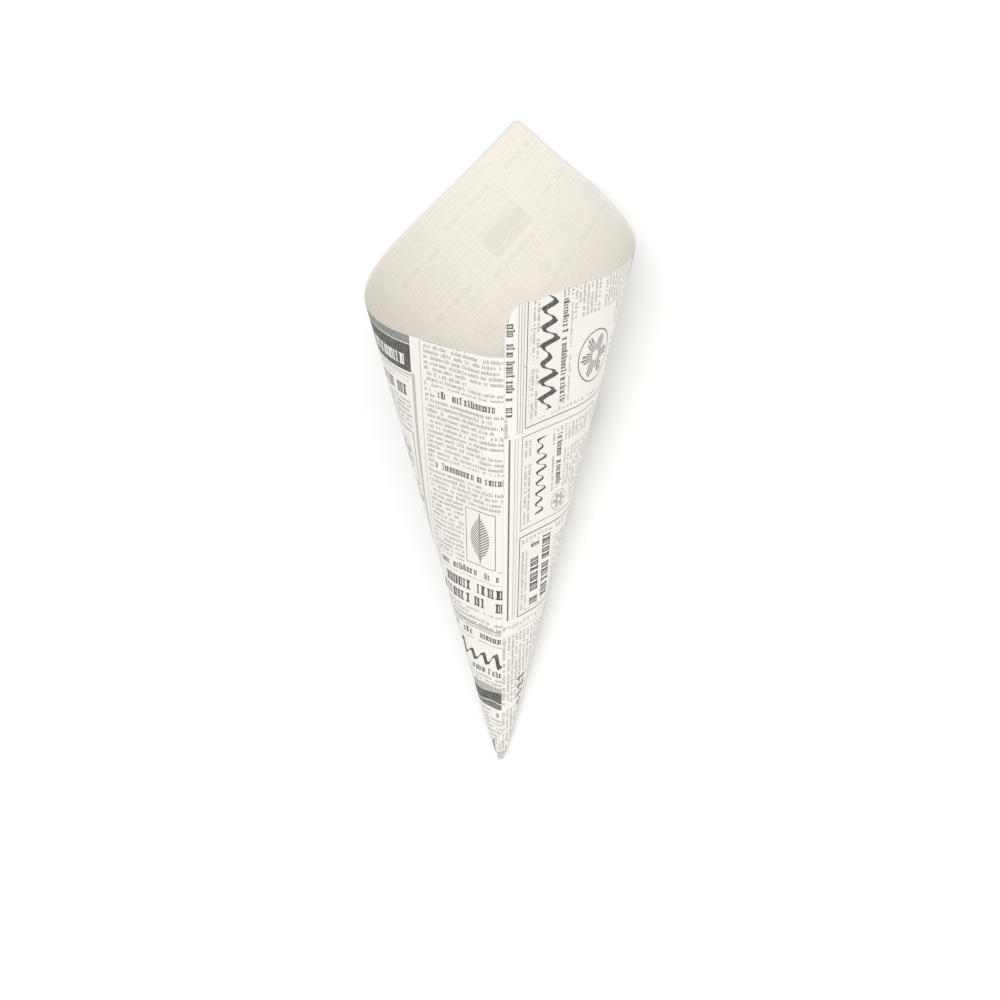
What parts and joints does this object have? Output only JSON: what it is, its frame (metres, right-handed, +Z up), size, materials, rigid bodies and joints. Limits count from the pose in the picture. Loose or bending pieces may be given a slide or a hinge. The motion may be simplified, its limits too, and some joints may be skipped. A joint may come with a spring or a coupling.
{
  "type": "cone paper cup",
  "caption": "Paper cone for chips and snacks: one printed page rolled about a corner, with a glued lap seam and a raised peak behind the mouth.",
  "frame": {"origin": "on the floor, under the centre of the box round the cone as it lies", "axes": "+Z up from the floor it lies on, with the seam on the upper side; +Y along the floor from the tip to the peak of the mouth"},
  "size_m": [0.1327, 0.3408, 0.1206],
  "materials": {
    "printed_paper": "matt"
  },
  "bodies": {
    "root": {"paper_cone": "printed_paper"}
  },
  "joints": []
}
